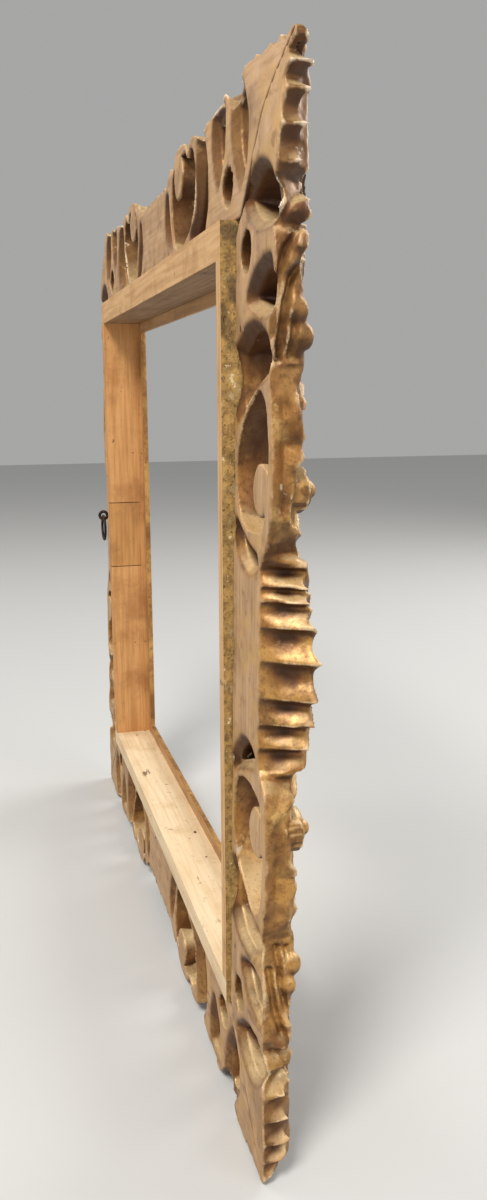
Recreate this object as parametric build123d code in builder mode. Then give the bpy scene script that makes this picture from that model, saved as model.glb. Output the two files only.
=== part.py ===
from build123d import *
import os
from math import cos, hypot, radians, sin

os.makedirs("parts", exist_ok=True)

# A carved and pierced giltwood frame that stands on the tips of its lower corner leaves.
# X runs along the width, Y from front to back, Z up. The origin is at the middle of the
# footprint of the whole frame, on the surface that it stands on. Depths are measured
# from the back face of the plain box towards the front, which faces minus Y.

# Plain box of softwood rails
box_height = 480.0
box_width = 500.0
box_depth = 36.5
top_rail_thick = 20.5
bottom_rail_thick = 15.0
left_rail_thick = 10.0
right_rail_thick = 16.0
lap_depth = box_depth / 2

# Let-in block in the right upright
patch_height = 70.0
patch_depth = 32.0
patch_thick = 7.0
patch_gap = 0.15

# Gilded sight strips planted on the front of the box
sight_lip = 9.5
strip_seat = 5.0
strip_thick = 5.5
strip_width = sight_lip + strip_seat
nose_share = 0.24
hollow_sink_share = 0.35

# Carved border
border_reach = 74.5
band_reach = 64.0
front_depth = 45.0
lap_front = 42.0
edge_front = 21.0
front_flat = 5.0
quirk_radius = 2.2
quirk_sink_share = 0.5
back_set_top = 9.0
back_set_bottom = 2.5
front_lean_share = 0.7
rim_width = 4.0
rim_rise = 2.6
overrun = 2.0

# Fan at the middle of each side
fan_lobes = 9
fan_half = 60.0
fan_lobe_radius = 8.5
fan_sweep = 65.0
fan_rise = 14.0
fan_flare = 22.0
fan_relief = 54.0
flute_radius = 5.6
flute_depth = 3.6
fan_root = 8.0
fan_rim_front = 36.0
fan_end_front = 29.0
fan_button_radius = 9.0
fan_button_top_radius = 5.0
fan_button_rise = 4.0

# Scroll with its volute
volute_at = 97.0
volute_out = 53.0
volute_radius = 14.5
volute_rise = 1.6
volute_boss_radius = 9.0
volute_boss_top_radius = 2.8
volute_boss_rise = 7.6
strap_bulge_at = 106.0
strap_bulge_half = 44.0
leaf_bulge_back = 31.0
leaf_bulge_half = 30.0
bulge_reach = 72.0

# Corner leaf
corner_lobe_radius = 8.0
corner_lobe_shares = [-0.03, 0.2, 0.42, 0.63, 0.81]
vein_radius = 4.5
vein_sink_share = 0.55
rib_radius = 3.0
rib_sink_share = 0.5
rib_lean_share = 0.04
tip_curl_top = 8.0
tip_curl_bottom = 3.0
tip_curl_start = 62.0

# Pierced openings, as shares of the border's reach: along the side, then outwards. Each is
# a loop of arcs, and each arc runs over three points. Those of the scroll are counted from
# the middle of the side, the others from the corner.
scroll_opening_shares = [
    (1.07, 0.17), (1.34, 0.07), (1.65, 0.13), (1.86, 0.29), (1.97, 0.54),
    (1.96, 0.74), (1.83, 0.84), (1.45, 0.87), (1.05, 0.78), (0.99, 0.47),
]
crest_opening_shares = [
    (2.14, 0.78), (2.06, 0.46), (1.85, 0.11), (2.04, 0.05),
    (2.26, 0.08), (2.39, 0.46), (2.31, 0.74), (2.23, 0.80),
]
foot_opening_shares = [(0.96, 0.08), (0.74, 0.30), (0.77, 0.60), (0.84, 0.37)]
wedge_opening_shares = [
    (-0.58, 0.38), (-0.44, 0.60), (-0.41, 0.83), (-0.54, 0.86), (-0.67, 0.84), (-0.66, 0.60),
]
loop_opening_shares = [(-0.41, 0.26), (-0.25, 0.41), (-0.10, 0.26), (-0.25, 0.13)]
tear_opening_shares = [
    (0.09, 0.27), (0.23, 0.56), (0.07, 0.86), (-0.04, 0.92), (-0.11, 0.86), (-0.09, 0.56),
]

# Pegs of the halved corners, nails of the carved rails
peg_radius = 2.5
peg_back_cover = 6.0
nail_radius = 1.0
nail_length = 21.0
nail_front_cover = 1.2
nail_place_shares = [-0.5, 0.5]
wood_gap = 0.05

# Screw eye and hanging ring behind the right upright of the border
eye_wire = 3.2
eye_bore = 5.2
eye_out = 30.0
eye_up = 16.0
eye_shank_length = 16.0
eye_neck = 1.6
ring_wire = 2.8
ring_inner_radius = 11.6
ring_seat_gap = 0.3

# Worked out from the sizes above
box_bottom = border_reach
box_middle = box_bottom + box_height / 2
box_top = box_bottom + box_height
half_width = box_width / 2
half_height = box_height / 2
top_lap = top_rail_thick - strip_seat
bottom_lap = bottom_rail_thick - strip_seat
left_lap = left_rail_thick - strip_seat
right_lap = right_rail_thick - strip_seat
back_slope = (back_set_top - back_set_bottom) / box_height
front_slope = front_lean_share * back_slope
front_fall_rate = (lap_front - edge_front) / (border_reach - front_flat)
flare_share = fan_rim_front / hypot(fan_flare, fan_rim_front)
nail_seat = lap_front - nail_front_cover - box_depth
eye_ring_radius = (eye_bore + eye_wire) / 2
eye_height = box_middle + eye_up
eye_face_depth = back_set_bottom + back_slope * (eye_height - box_bottom)
eye_behind = eye_neck + eye_wire + eye_bore / 2 - eye_face_depth
back_reach = eye_behind + eye_bore / 2 + eye_wire
y_box_back = (front_depth - back_reach) / 2


def depth_y(depth):
    return y_box_back - depth


def finish(part, label):
    part.label = label
    export_step(part, "parts/" + label + ".step")


# Each side has a plane on the outer face of the box: x along the side, y outwards, z to the front
sides = {
    "top": (Plane((0, y_box_back, box_top), x_dir=(1, 0, 0), z_dir=(0, -1, 0)), half_width),
    "bottom": (Plane((0, y_box_back, box_bottom), x_dir=(-1, 0, 0), z_dir=(0, -1, 0)), half_width),
    "left": (Plane((-half_width, y_box_back, box_middle), x_dir=(0, 0, 1), z_dir=(0, -1, 0)), half_height),
    "right": (Plane((half_width, y_box_back, box_middle), x_dir=(0, 0, -1), z_dir=(0, -1, 0)), half_height),
}
laps = {"top": top_lap, "bottom": bottom_lap, "left": left_lap, "right": right_lap}
thicks = {
    "top": top_rail_thick,
    "bottom": bottom_rail_thick,
    "left": left_rail_thick,
    "right": right_rail_thick,
}
# The sides met at the low and at the high end of each side's own x
neighbours = {
    "top": ("left", "right"),
    "bottom": ("right", "left"),
    "left": ("bottom", "top"),
    "right": ("top", "bottom"),
}


def side_point(side, along, out, depth):
    return sides[side][0].from_local_coords((along, out, depth))


def nail_places(side):
    reach = sides[side][1]
    return [side_point(side, share * reach, -laps[side] / 2, box_depth) for share in nail_place_shares]


def peg_places():
    places = []
    for upright, x_sign in (("left", -1), ("right", 1)):
        for level, z_sign in (("bottom", -1), ("top", 1)):
            x = x_sign * (half_width - thicks[upright] / 2)
            z = box_middle + z_sign * (half_height - thicks[level] / 2)
            places.append((x, depth_y(box_depth), z))
    return places


def bores(places, radius, depth):
    planes = [Plane(place, x_dir=(1, 0, 0), z_dir=(0, 1, 0)) for place in places]
    with Locations(*planes):
        Cylinder(radius, depth, align=(Align.CENTER, Align.CENTER, Align.MIN), mode=Mode.SUBTRACT)


# A block given by its size along the side, outwards and in depth
def side_box(side, along, out, depth, mode=Mode.ADD):
    if side in ("top", "bottom"):
        Box(along, depth, out, mode=mode)
    else:
        Box(out, depth, along, mode=mode)


# Rails of the plain box, halved into each other at the corners: the level rails keep
# their back halves, the uprights their front halves
def box_rail(side):
    level = side in ("top", "bottom")
    reach = sides[side][1]
    thick = thicks[side]
    low, high = (thicks[name] for name in neighbours[side])
    lap_start = lap_depth if level else 0.0
    lap_middle = lap_start + lap_depth / 2
    with BuildPart() as rail:
        with Locations(side_point(side, 0, -thick / 2, box_depth / 2)):
            side_box(side, 2 * reach, thick, box_depth)
        for along, length in ((low / 2 - reach, low), (reach - high / 2, high)):
            with Locations(side_point(side, along, -thick / 2, lap_middle)):
                side_box(side, length, thick, lap_depth, Mode.SUBTRACT)
        bores(peg_places(), peg_radius + wood_gap, box_depth - peg_back_cover)
        bores(nail_places(side), nail_radius + wood_gap, nail_length - nail_seat)
        if side == "right":
            with Locations(side_point(side, 0, patch_thick / 2 - thick, patch_depth / 2)):
                side_box(side, patch_height, patch_thick, patch_depth, Mode.SUBTRACT)
    finish(rail.part, "liner_" + side)


for side_name in sides:
    box_rail(side_name)

# Let-in block, open to the back and flush with the inner face of the right upright
patch_out = (patch_thick - patch_gap) / 2 - right_rail_thick
with BuildPart() as patch:
    with Locations(side_point("right", 0, patch_out, (patch_depth - patch_gap) / 2)):
        side_box("right", patch_height - 2 * patch_gap, patch_thick - patch_gap, patch_depth - patch_gap)
finish(patch.part, "liner_patch")

# Pegs through the halved corners, from the front
with BuildPart() as pegs:
    with Locations(*[Plane(place, x_dir=(1, 0, 0), z_dir=(0, 1, 0)) for place in peg_places()]):
        Cylinder(
            peg_radius,
            box_depth - peg_back_cover - wood_gap,
            align=(Align.CENTER, Align.CENTER, Align.MIN),
        )
finish(pegs.part, "lap_pegs")


# Sight strips, mitred at the corners, with a nose at the sight and a hollow behind it
def sight_strip(side):
    plane, reach = sides[side]
    thick = thicks[side]
    low, high = (thicks[name] for name in neighbours[side])
    inner = -thick - sight_lip
    outer = inner + strip_width
    low_end = low + sight_lip - reach
    high_end = reach - high - sight_lip
    nose = nose_share * strip_width
    section = Plane(plane.origin, x_dir=plane.y_dir, z_dir=plane.x_dir)
    base = box_depth
    crest = box_depth + strip_thick
    with BuildPart() as strip:
        with BuildSketch(section) as profile:
            with BuildLine() as edge:
                Line((inner, crest - nose), (inner, base))
                Line((inner, base), (outer, base))
                Line((outer, base), (outer, crest))
                ThreePointArc(
                    (outer, crest),
                    ((outer + inner + nose) / 2, crest - hollow_sink_share * strip_thick),
                    (inner + nose, crest),
                )
                RadiusArc((inner + nose, crest), (inner, crest - nose), -nose)
            make_face()
        extrude(amount=reach, both=True)
        with BuildSketch(plane.offset(box_depth - overrun)) as ends:
            with BuildLine() as mitre:
                Polyline(
                    (low_end, inner),
                    (high_end, inner),
                    (high_end + strip_width, outer),
                    (low_end - strip_width, outer),
                    close=True,
                )
            make_face()
        extrude(amount=strip_thick + 2 * overrun, mode=Mode.INTERSECT)
    finish(strip.part, "sight_strip_" + side)


for side_name in sides:
    sight_strip(side_name)


# Outline of one carved rail between its two mitres
def rail_ends(side):
    reach = sides[side][1]
    low, high = (laps[name] for name in neighbours[side])
    with BuildLine() as ends:
        Polyline(
            (low - reach, -laps[side]),
            (reach - high, -laps[side]),
            (reach + border_reach, border_reach),
            (-reach - border_reach, border_reach),
            close=True,
        )
    make_face(ends.edges(), mode=Mode.INTERSECT)


# Part of a circle that stands on the outer edge of the band
def band_bulge(middle, half):
    low, high = (middle - half, band_reach), (middle + half, band_reach)
    with BuildLine() as bulge:
        ThreePointArc(low, (middle, bulge_reach), high)
        Line(high, low)
    make_face(bulge.edges())


def rail_outline(side):
    reach = sides[side][1]
    with BuildSketch(sides[side][0]) as outline:
        with Locations((0, (band_reach - laps[side]) / 2)):
            Rectangle(2 * (reach + border_reach), band_reach + laps[side])
        with Locations((0, fan_relief + band_reach / 2)):
            Rectangle(2 * fan_half, band_reach, mode=Mode.SUBTRACT)
        for end in (-1, 1):
            band_bulge(end * strap_bulge_at, strap_bulge_half)
            band_bulge(end * (reach - leaf_bulge_back), leaf_bulge_half)
            for share in corner_lobe_shares:
                with Locations((end * (reach + share * border_reach), border_reach - corner_lobe_radius)):
                    Circle(corner_lobe_radius)
            tip = border_reach - corner_lobe_radius
            with Locations((end * (reach + tip), tip)):
                Circle(corner_lobe_radius)
        rail_ends(side)
    return outline.sketch


# Closed outline of arcs over three points each, let out by grow on all sides
def arc_loop(shares, anchor, end, grow=0.0):
    places = [Vector(anchor + end * along * border_reach, out * border_reach) for along, out in shares]
    middle = sum(places, Vector()) / len(places)
    points = [place + (place - middle).normalized() * grow for place in places]
    with BuildLine() as curve:
        for start, over, stop in zip(points[::2], points[1::2], points[2::2] + points[:1]):
            ThreePointArc(start, over, stop)
    make_face(curve.edges())


def scroll_openings(grow=0.0):
    for end in (-1, 1):
        arc_loop(scroll_opening_shares, 0, end, grow)


def small_openings(reach):
    for end in (-1, 1):
        for shares in (crest_opening_shares, foot_opening_shares):
            arc_loop(shares, 0, end)
        for shares in (wedge_opening_shares, loop_opening_shares, tear_opening_shares):
            arc_loop(shares, end * reach, end)


# Depth of the falling front surface, which leans with the back of the border
def front_at(side, along, out):
    height = side_point(side, along, out, 0).Z - box_middle
    return lap_front + front_slope * height - front_fall_rate * max(out - front_flat, 0)


# Everything in front of that surface, raised by rise, is cut away
def front_fall(side, rise):
    plane, reach = sides[side]
    start = -reach - border_reach
    section = Plane(side_point(side, start, 0, 0), x_dir=plane.y_dir, z_dir=plane.x_dir)
    inner = -laps[side] - overrun
    outer = border_reach + overrun
    with BuildSketch(section) as above:
        with BuildLine():
            Polyline(
                (inner, front_at(side, start, inner) + rise),
                (front_flat, front_at(side, start, front_flat) + rise),
                (outer, front_at(side, start, outer) + rise),
                (outer, front_depth + border_reach),
                (inner, front_depth + border_reach),
                close=True,
            )
        make_face()
    lean = front_at(side, -start, 0) - front_at(side, start, 0)
    run = plane.x_dir * (-2 * start) + plane.z_dir * lean
    extrude(above.sketch, amount=run.length, dir=run, mode=Mode.SUBTRACT)


# Round groove between two points of the front, given along the side and outwards
def front_groove(side, start, stop, radius, sink_share):
    ends = []
    for along, out in (start, stop):
        ends.append(side_point(side, along, out, front_at(side, along, out) + radius * (1 - sink_share)))
    run = ends[1] - ends[0]
    with Locations(Plane(ends[0], z_dir=run)):
        Cylinder(
            radius,
            run.length,
            align=(Align.CENTER, Align.CENTER, Align.MIN),
            mode=Mode.SUBTRACT,
        )


# Middles of the fan's lobes at its rim, seen along the way that the lobes flare
def fan_centres():
    centres = []
    for lobe in range(fan_lobes):
        angle = radians(fan_sweep * (2 * lobe / (fan_lobes - 1) - 1))
        along = (fan_half - fan_lobe_radius) * sin(angle) / sin(radians(fan_sweep))
        out = border_reach - fan_lobe_radius / flare_share - fan_rise * (1 - cos(angle))
        centres.append((along, out))
    return centres


# Fan of rounded lobes that flares outwards to the front, with flutes from its root
def carve_fan(side):
    plane = sides[side][0]
    centres = fan_centres()
    back_centres = [(along, (out - fan_flare) * flare_share) for along, out in centres]
    flare = plane.y_dir * fan_flare + plane.z_dir * fan_rim_front
    with BuildSketch(Plane(plane.origin, x_dir=plane.x_dir, z_dir=flare)) as shell:
        with BuildLine():
            first, last = back_centres[0], back_centres[-1]
            Polyline(*back_centres, (last[0], fan_root), (first[0], fan_root), close=True)
        make_face()
        with Locations(*back_centres):
            Circle(fan_lobe_radius)
    with BuildPart(mode=Mode.PRIVATE) as fan:
        extrude(shell.sketch, amount=front_depth + border_reach)
        # The front falls to the rim and to both ends
        ends = Plane(plane.origin, x_dir=plane.x_dir, z_dir=-plane.y_dir)
        with BuildSketch(ends) as across:
            with BuildLine():
                Polyline(
                    (-fan_half, 0),
                    (-fan_half, fan_end_front),
                    (-fan_half / 2, fan_rim_front),
                    (0, front_depth),
                    (fan_half / 2, fan_rim_front),
                    (fan_half, fan_end_front),
                    (fan_half, 0),
                    close=True,
                )
            make_face()
        extrude(across.sketch, amount=-border_reach, mode=Mode.INTERSECT)
        section = Plane(side_point(side, -fan_half, 0, 0), x_dir=plane.y_dir, z_dir=plane.x_dir)
        with BuildSketch(section) as outwards:
            with BuildLine():
                Polyline(
                    (0, 0),
                    (0, lap_front),
                    (fan_root, lap_front),
                    (border_reach, fan_rim_front),
                    (border_reach, 0),
                    close=True,
                )
            make_face()
        extrude(outwards.sketch, amount=2 * fan_half, mode=Mode.INTERSECT)
    add(fan.part)
    root = side_point(side, 0, fan_root, lap_front + flute_radius)
    for one, other in zip(centres, centres[1:]):
        along = (one[0] + other[0]) / 2
        out = (one[1] + other[1]) / 2 + fan_lobe_radius
        end_share = abs(along) / fan_half
        rim = fan_rim_front - end_share * (fan_rim_front - fan_end_front)
        tip = side_point(side, along, out, rim + flute_radius - flute_depth)
        run = tip - root
        with Locations(Plane(root, z_dir=run)):
            Cylinder(
                flute_radius,
                run.length + fan_lobe_radius,
                align=(Align.CENTER, Align.CENTER, Align.MIN),
                mode=Mode.SUBTRACT,
            )
    with Locations(Plane(side_point(side, 0, fan_root, front_depth - fan_button_rise), z_dir=plane.z_dir)):
        Cone(
            fan_button_radius,
            fan_button_top_radius,
            fan_button_rise,
            align=(Align.CENTER, Align.CENTER, Align.MIN),
        )
    with Locations(Plane(side_point(side, 0, fan_root, 0), z_dir=plane.z_dir)):
        Cylinder(
            fan_button_radius,
            front_depth - fan_button_rise,
            align=(Align.CENTER, Align.CENTER, Align.MIN),
        )


# Volutes: a disc and a tapered boss at the eye of each scroll
def add_volutes(side):
    plane = sides[side][0]
    for along in (-volute_at, volute_at):
        disc_front = front_at(side, along, volute_out) + volute_rise
        with Locations(Plane(side_point(side, along, volute_out, 0), z_dir=plane.z_dir)):
            Cylinder(volute_radius, disc_front, align=(Align.CENTER, Align.CENTER, Align.MIN))
        with Locations(Plane(side_point(side, along, volute_out, disc_front), z_dir=plane.z_dir)):
            Cone(
                volute_boss_radius,
                volute_boss_top_radius,
                volute_boss_rise,
                align=(Align.CENTER, Align.CENTER, Align.MIN),
            )


# Vein along each mitre, ribs from it to the notches, and the leaf's tip curled to the front
def carve_corners(side):
    plane, reach = sides[side]
    tip_out = border_reach - corner_lobe_radius
    for end in (-1, 1):
        corner_along = end * reach
        tip_along = end * (reach + tip_out)
        front_groove(side, (corner_along, 0), (tip_along, tip_out), vein_radius, vein_sink_share)
        for one, other in zip(corner_lobe_shares[1:], corner_lobe_shares[2:]):
            notch = (one + other) / 2 * border_reach
            foot = notch - rib_lean_share * border_reach
            rib_start = (end * (reach + foot), foot)
            rib_stop = (end * (reach + notch), border_reach)
            front_groove(side, rib_start, rib_stop, rib_radius, rib_sink_share)
        corner = side_point(side, end * reach, 0, 0)
        diagonal = (plane.x_dir * end + plane.y_dir).normalized()
        tip = side_point(side, end * (reach + border_reach), border_reach, 0)
        back_set = back_set_bottom + back_slope * (tip.Z - box_bottom)
        curl = tip_curl_top if tip.Z > box_middle else tip_curl_bottom
        leaf_length = (tip - corner).length
        across = Plane(corner, x_dir=diagonal, z_dir=diagonal.cross(plane.z_dir))
        with BuildSketch(across) as behind_tip:
            with BuildLine():
                Polyline(
                    (tip_curl_start, back_set - overrun),
                    (tip_curl_start, back_set),
                    (leaf_length, back_set + curl),
                    (leaf_length, back_set - overrun),
                    close=True,
                )
            make_face()
        extrude(behind_tip.sketch, amount=border_reach, both=True, mode=Mode.SUBTRACT)


def carved_rail(side):
    plane, reach = sides[side]
    with BuildPart() as rail:
        extrude(rail_outline(side), amount=front_depth)
        front_fall(side, 0)
        with BuildSketch(plane) as rims:
            scroll_openings(rim_width)
        extrude(rims.sketch, amount=front_depth)
        front_fall(side, rim_rise)
        with BuildSketch(plane) as openings:
            scroll_openings()
            small_openings(reach)
        extrude(openings.sketch, amount=front_depth + overrun, mode=Mode.SUBTRACT)
        far = reach + border_reach
        front_groove(side, (-far, front_flat), (far, front_flat), quirk_radius, quirk_sink_share)
        add_volutes(side)
        carve_fan(side)
        carve_corners(side)
        # Seat on the box: its own block and everything behind the leaning back plane
        with Locations((0, depth_y(box_depth / 2), box_middle)):
            Box(box_width, box_depth, box_height, mode=Mode.SUBTRACT)
        with BuildSketch(Plane.YZ) as behind:
            with BuildLine():
                low_z = -overrun
                high_z = box_top + border_reach + overrun
                low_y = depth_y(back_set_bottom + back_slope * (low_z - box_bottom))
                high_y = depth_y(back_set_bottom + back_slope * (high_z - box_bottom))
                far_y = depth_y(-box_depth)
                Polyline((low_y, low_z), (high_y, high_z), (far_y, high_z), (far_y, low_z), close=True)
            make_face()
        extrude(behind.sketch, amount=half_width + border_reach + overrun, both=True, mode=Mode.SUBTRACT)
        bores(nail_places(side), nail_radius + wood_gap, nail_length)
        nail_tops = [place + Vector(0, -nail_seat, 0) for place in nail_places(side)]
        bores(nail_tops, nail_radius + wood_gap, nail_length)
        if side == "right":
            eye_seat = (half_width + eye_out, depth_y(eye_face_depth - overrun), eye_height)
            with Locations(Plane(eye_seat, z_dir=(0, -1, 0))):
                Cylinder(
                    eye_wire / 2 + wood_gap,
                    eye_shank_length + overrun,
                    align=(Align.CENTER, Align.CENTER, Align.MIN),
                    mode=Mode.SUBTRACT,
                )
    finish(rail.part, "carved_" + side)


for side_name in sides:
    carved_rail(side_name)

# Nails that hold the carved rails to the front of the box
with BuildPart() as nails:
    for side_name in sides:
        tops = [place + Vector(0, -nail_seat, 0) for place in nail_places(side_name)]
        with Locations(*[Plane(top, x_dir=(1, 0, 0), z_dir=(0, 1, 0)) for top in tops]):
            Cylinder(
                nail_radius,
                nail_length - wood_gap,
                align=(Align.CENTER, Align.CENTER, Align.MIN),
            )
finish(nails.part, "border_nails")

# Screw eye: a shank in the wood and an eye whose bore runs along X
eye_centre = Vector(half_width + eye_out, depth_y(-eye_behind), eye_height)
with BuildPart() as eye:
    with Locations(Plane(eye_centre, z_dir=(1, 0, 0))):
        Torus(eye_ring_radius, eye_wire / 2)
    shank_start = depth_y(-eye_behind + eye_bore / 2 + eye_wire / 2)
    shank_stop = depth_y(eye_face_depth + eye_shank_length - wood_gap)
    with Locations(Plane((eye_centre.X, shank_start, eye_height), z_dir=(0, -1, 0))):
        Cylinder(
            eye_wire / 2,
            shank_start - shank_stop,
            align=(Align.CENTER, Align.CENTER, Align.MIN),
        )
finish(eye.part, "screw_eye")

# Hanging ring: its wire lies in the bottom of the eye's bore, where it swings about X
ring_radius = ring_inner_radius + ring_wire / 2
swing_height = eye_height - (eye_bore - ring_wire) / 2 + ring_seat_gap
ring_centre = Vector(eye_centre.X, eye_centre.Y, swing_height - ring_radius)
with BuildPart() as ring:
    with Locations(Plane(ring_centre, z_dir=(0, 1, 0))):
        Torus(ring_radius, ring_wire / 2)
finish(ring.part, "hanging_ring")

whole_width = box_width + 2 * border_reach
whole_height = box_height + 2 * border_reach
print("box of the whole", whole_width, front_depth + back_reach, whole_height)
print("ring axis", eye_centre.X, eye_centre.Y, swing_height)
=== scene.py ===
import math
from collections import namedtuple
import bpy
import numpy as np
from mathutils import Matrix, Vector


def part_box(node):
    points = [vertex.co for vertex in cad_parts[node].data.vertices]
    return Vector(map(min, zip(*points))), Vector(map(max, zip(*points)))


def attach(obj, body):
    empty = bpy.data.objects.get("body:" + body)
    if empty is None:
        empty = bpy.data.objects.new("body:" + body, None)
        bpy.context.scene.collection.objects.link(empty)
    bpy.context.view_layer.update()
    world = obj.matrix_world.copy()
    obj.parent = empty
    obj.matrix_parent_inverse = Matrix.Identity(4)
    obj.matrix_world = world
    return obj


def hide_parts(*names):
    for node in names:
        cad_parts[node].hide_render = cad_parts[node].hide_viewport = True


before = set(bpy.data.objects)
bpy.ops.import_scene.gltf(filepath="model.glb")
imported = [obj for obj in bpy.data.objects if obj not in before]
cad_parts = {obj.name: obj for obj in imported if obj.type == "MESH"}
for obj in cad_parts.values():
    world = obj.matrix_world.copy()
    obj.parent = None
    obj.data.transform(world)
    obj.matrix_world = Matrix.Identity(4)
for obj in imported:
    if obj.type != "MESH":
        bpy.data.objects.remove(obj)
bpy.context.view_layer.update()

MM = 0.001


def node_box(name):
    """Least corner and size of a CAD node, in mm."""
    low, high = (np.array(corner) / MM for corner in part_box(name))
    low = low.round(4)
    return low, (high.round(4) - low).round(3)


# Plain box and its border, in mm, from the nodes of the frame
top_low, (BOX_W, BOX_D, top_thick) = node_box("liner_top")
bottom_low, (_, _, bottom_thick) = node_box("liner_bottom")
_, (left_thick, _, BOX_H) = node_box("liner_left")
_, (right_thick, _, _) = node_box("liner_right")
carved_low, _ = node_box("carved_left")
Y_BACK = round(top_low[1] + BOX_D, 4)
FRONT = round(Y_BACK - carved_low[1], 3)
BOX_Z0 = bottom_low[2]
REACH = BOX_Z0
MID_Z = BOX_Z0 + BOX_H / 2
TOP_Z = BOX_Z0 + BOX_H
HALF_W, HALF_H = BOX_W / 2, BOX_H / 2
# The border laps over each rail as far as the seat of the sight strip
STRIP_SEAT = 5.0
LAPS = {
    "top": top_thick - STRIP_SEAT,
    "bottom": bottom_thick - STRIP_SEAT,
    "left": left_thick - STRIP_SEAT,
    "right": right_thick - STRIP_SEAT,
}

# Each side: a point on the box's outer face, the ways along it and outwards, half its length
SIDES = {
    "top": ((0, Y_BACK, TOP_Z), (1, 0, 0), (0, 0, 1), HALF_W),
    "bottom": ((0, Y_BACK, BOX_Z0), (-1, 0, 0), (0, 0, -1), HALF_W),
    "left": ((-HALF_W, Y_BACK, MID_Z), (0, 0, 1), (-1, 0, 0), HALF_H),
    "right": ((HALF_W, Y_BACK, MID_Z), (0, 0, -1), (1, 0, 0), HALF_H),
}
NEIGHBOURS = {
    "top": ("left", "right"),
    "bottom": ("right", "left"),
    "left": ("bottom", "top"),
    "right": ("top", "bottom"),
}
GRAIN = {"top": "X", "bottom": "X", "left": "Z", "right": "Z"}

# Step of the grid that the carving is worked out on, and empty cells round it
STEP = 1.25
PAD = 3 * STEP
BEHIND_BACK = -2.0

# Front and back of the border, as depths in mm from the back of the box
LAP_FRONT, EDGE_FRONT, FRONT_FLAT = 42.0, 21.0, 5.0
SET_TOP, SET_BOTTOM = 9.0, 2.5
BACK_SLOPE = (SET_TOP - SET_BOTTOM) / BOX_H
FRONT_LEAN_SHARE = 0.7
FRONT_SLOPE = FRONT_LEAN_SHARE * BACK_SLOPE
FALL_RATE = (LAP_FRONT - EDGE_FRONT) / (REACH - FRONT_FLAT)

# Pierced openings as shares of the border's reach, along the side and outwards: loops of arcs
# over three points each, counted from the middle of the side or from the corner
OPENINGS_FROM_MIDDLE = {
    "scroll": [
        (1.07, 0.17), (1.34, 0.07), (1.65, 0.13), (1.86, 0.29), (1.97, 0.54),
        (1.96, 0.74), (1.83, 0.84), (1.45, 0.87), (1.05, 0.78), (0.99, 0.47),
    ],
    "crest": [
        (2.14, 0.78), (2.06, 0.46), (1.85, 0.11), (2.04, 0.05),
        (2.26, 0.08), (2.39, 0.46), (2.31, 0.74), (2.23, 0.80),
    ],
    "foot": [(0.96, 0.08), (0.74, 0.30), (0.77, 0.60), (0.84, 0.37)],
}
OPENINGS_FROM_CORNER = {
    "wedge": [
        (-0.58, 0.38), (-0.44, 0.60), (-0.41, 0.83), (-0.54, 0.86), (-0.67, 0.84), (-0.66, 0.60),
    ],
    "loop": [(-0.41, 0.26), (-0.25, 0.41), (-0.10, 0.26), (-0.25, 0.13)],
    "tear": [
        (0.09, 0.27), (0.23, 0.56), (0.07, 0.86), (-0.04, 0.92), (-0.11, 0.86), (-0.09, 0.56),
    ],
}
ARC_STEPS = 9

# Heights of the raised rims round the small openings, which stand a little off their edges
RIMS = {"crest": 1.6, "foot": 1.0, "wedge": 1.4, "loop": 2.2, "tear": 1.6}
RIM_PLACE, RIM_WIDTH = 2.0, 1.8
# Rim of the scroll and the sunk ground beside it: height, distance from the edge, width
SCROLL_RIM = (2.8, 2.4, 2.0)
SCROLL_GROUND = (-1.6, 9.0, 3.0)
# Openings whose edges are dished at the back: depth and width of the dish
DISHES = {"tear": (5.0, 4.0), "wedge": (5.0, 4.0), "crest": (5.5, 4.5), "foot": (4.5, 4.0)}
# Least wall left outside the openings: those by the corner, and the scroll's strap
WALL, STRAP_WALL, STRAP_WALL_RANGE = 6.0, 4.2, (150, 135)
# The openings widen behind the carving's face and close in again near its front
OPENING_ROOM, OPENING_WIDEN, OPENING_CLOSE = 0.3, 1.7, 0.9
WIDEN_RANGE, CLOSE_RANGE = (1.0, 12), (20, 32)
# Quirk between the plain inner band and the carving: depth and width
QUIRK_DEPTH, QUIRK_WIDTH = 1.6, 1.6
# Flutes of the leaves between the crest and the corner: they fan out from a point, given from
# the corner and outwards
FLUTE_FROM_CORNER, FLUTE_OUT, FLUTE_TURNS = -66.0, 4.0, 7.0
FLUTE_HEIGHT, FLUTE_SINK = 2.0, 1.2
# Ranges over which a form comes in or goes out. Here: the flutes from the corner and outwards
FLUTES_START, FLUTES_END, FLUTES_OUT = (-64, -54), (-6, -16), (10, 22)
# Fine flutes along the outer strap
STRAP_FLUTE_HEIGHT, STRAP_FLUTE_START, STRAP_FLUTE_RATE = 0.9, 63.0, 1.1
STRAP_START, STRAP_END, STRAP_OUT = (66, 76), (166, 152), (58, 63)

# Volute at the end of each scroll: a rolled drum on a neck, with a ball at its eye
VOLUTE_AT, VOLUTE_OUT, VOLUTE_R = 97.0, 53.0, 14.5
VOLUTE_RISE = 1.6
NECK_HALF, NECK_FOOT, NECK_ROUND = 5.0, 60.0, 3.0
COIL_LIFT, COIL_HEIGHT, COIL_PITCH = 0.28, 1.3, 6.4
BALL_R, BALL_RISE, DRUM_DROP = 5.4, 2.6, 8
# The strap sinks round the drum: depth, range from the drum's middle, and range outwards
STRAP_SINK, SINK_ROUND, SINK_OUT = 4.2, (24, 19), (50, 60)

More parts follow.
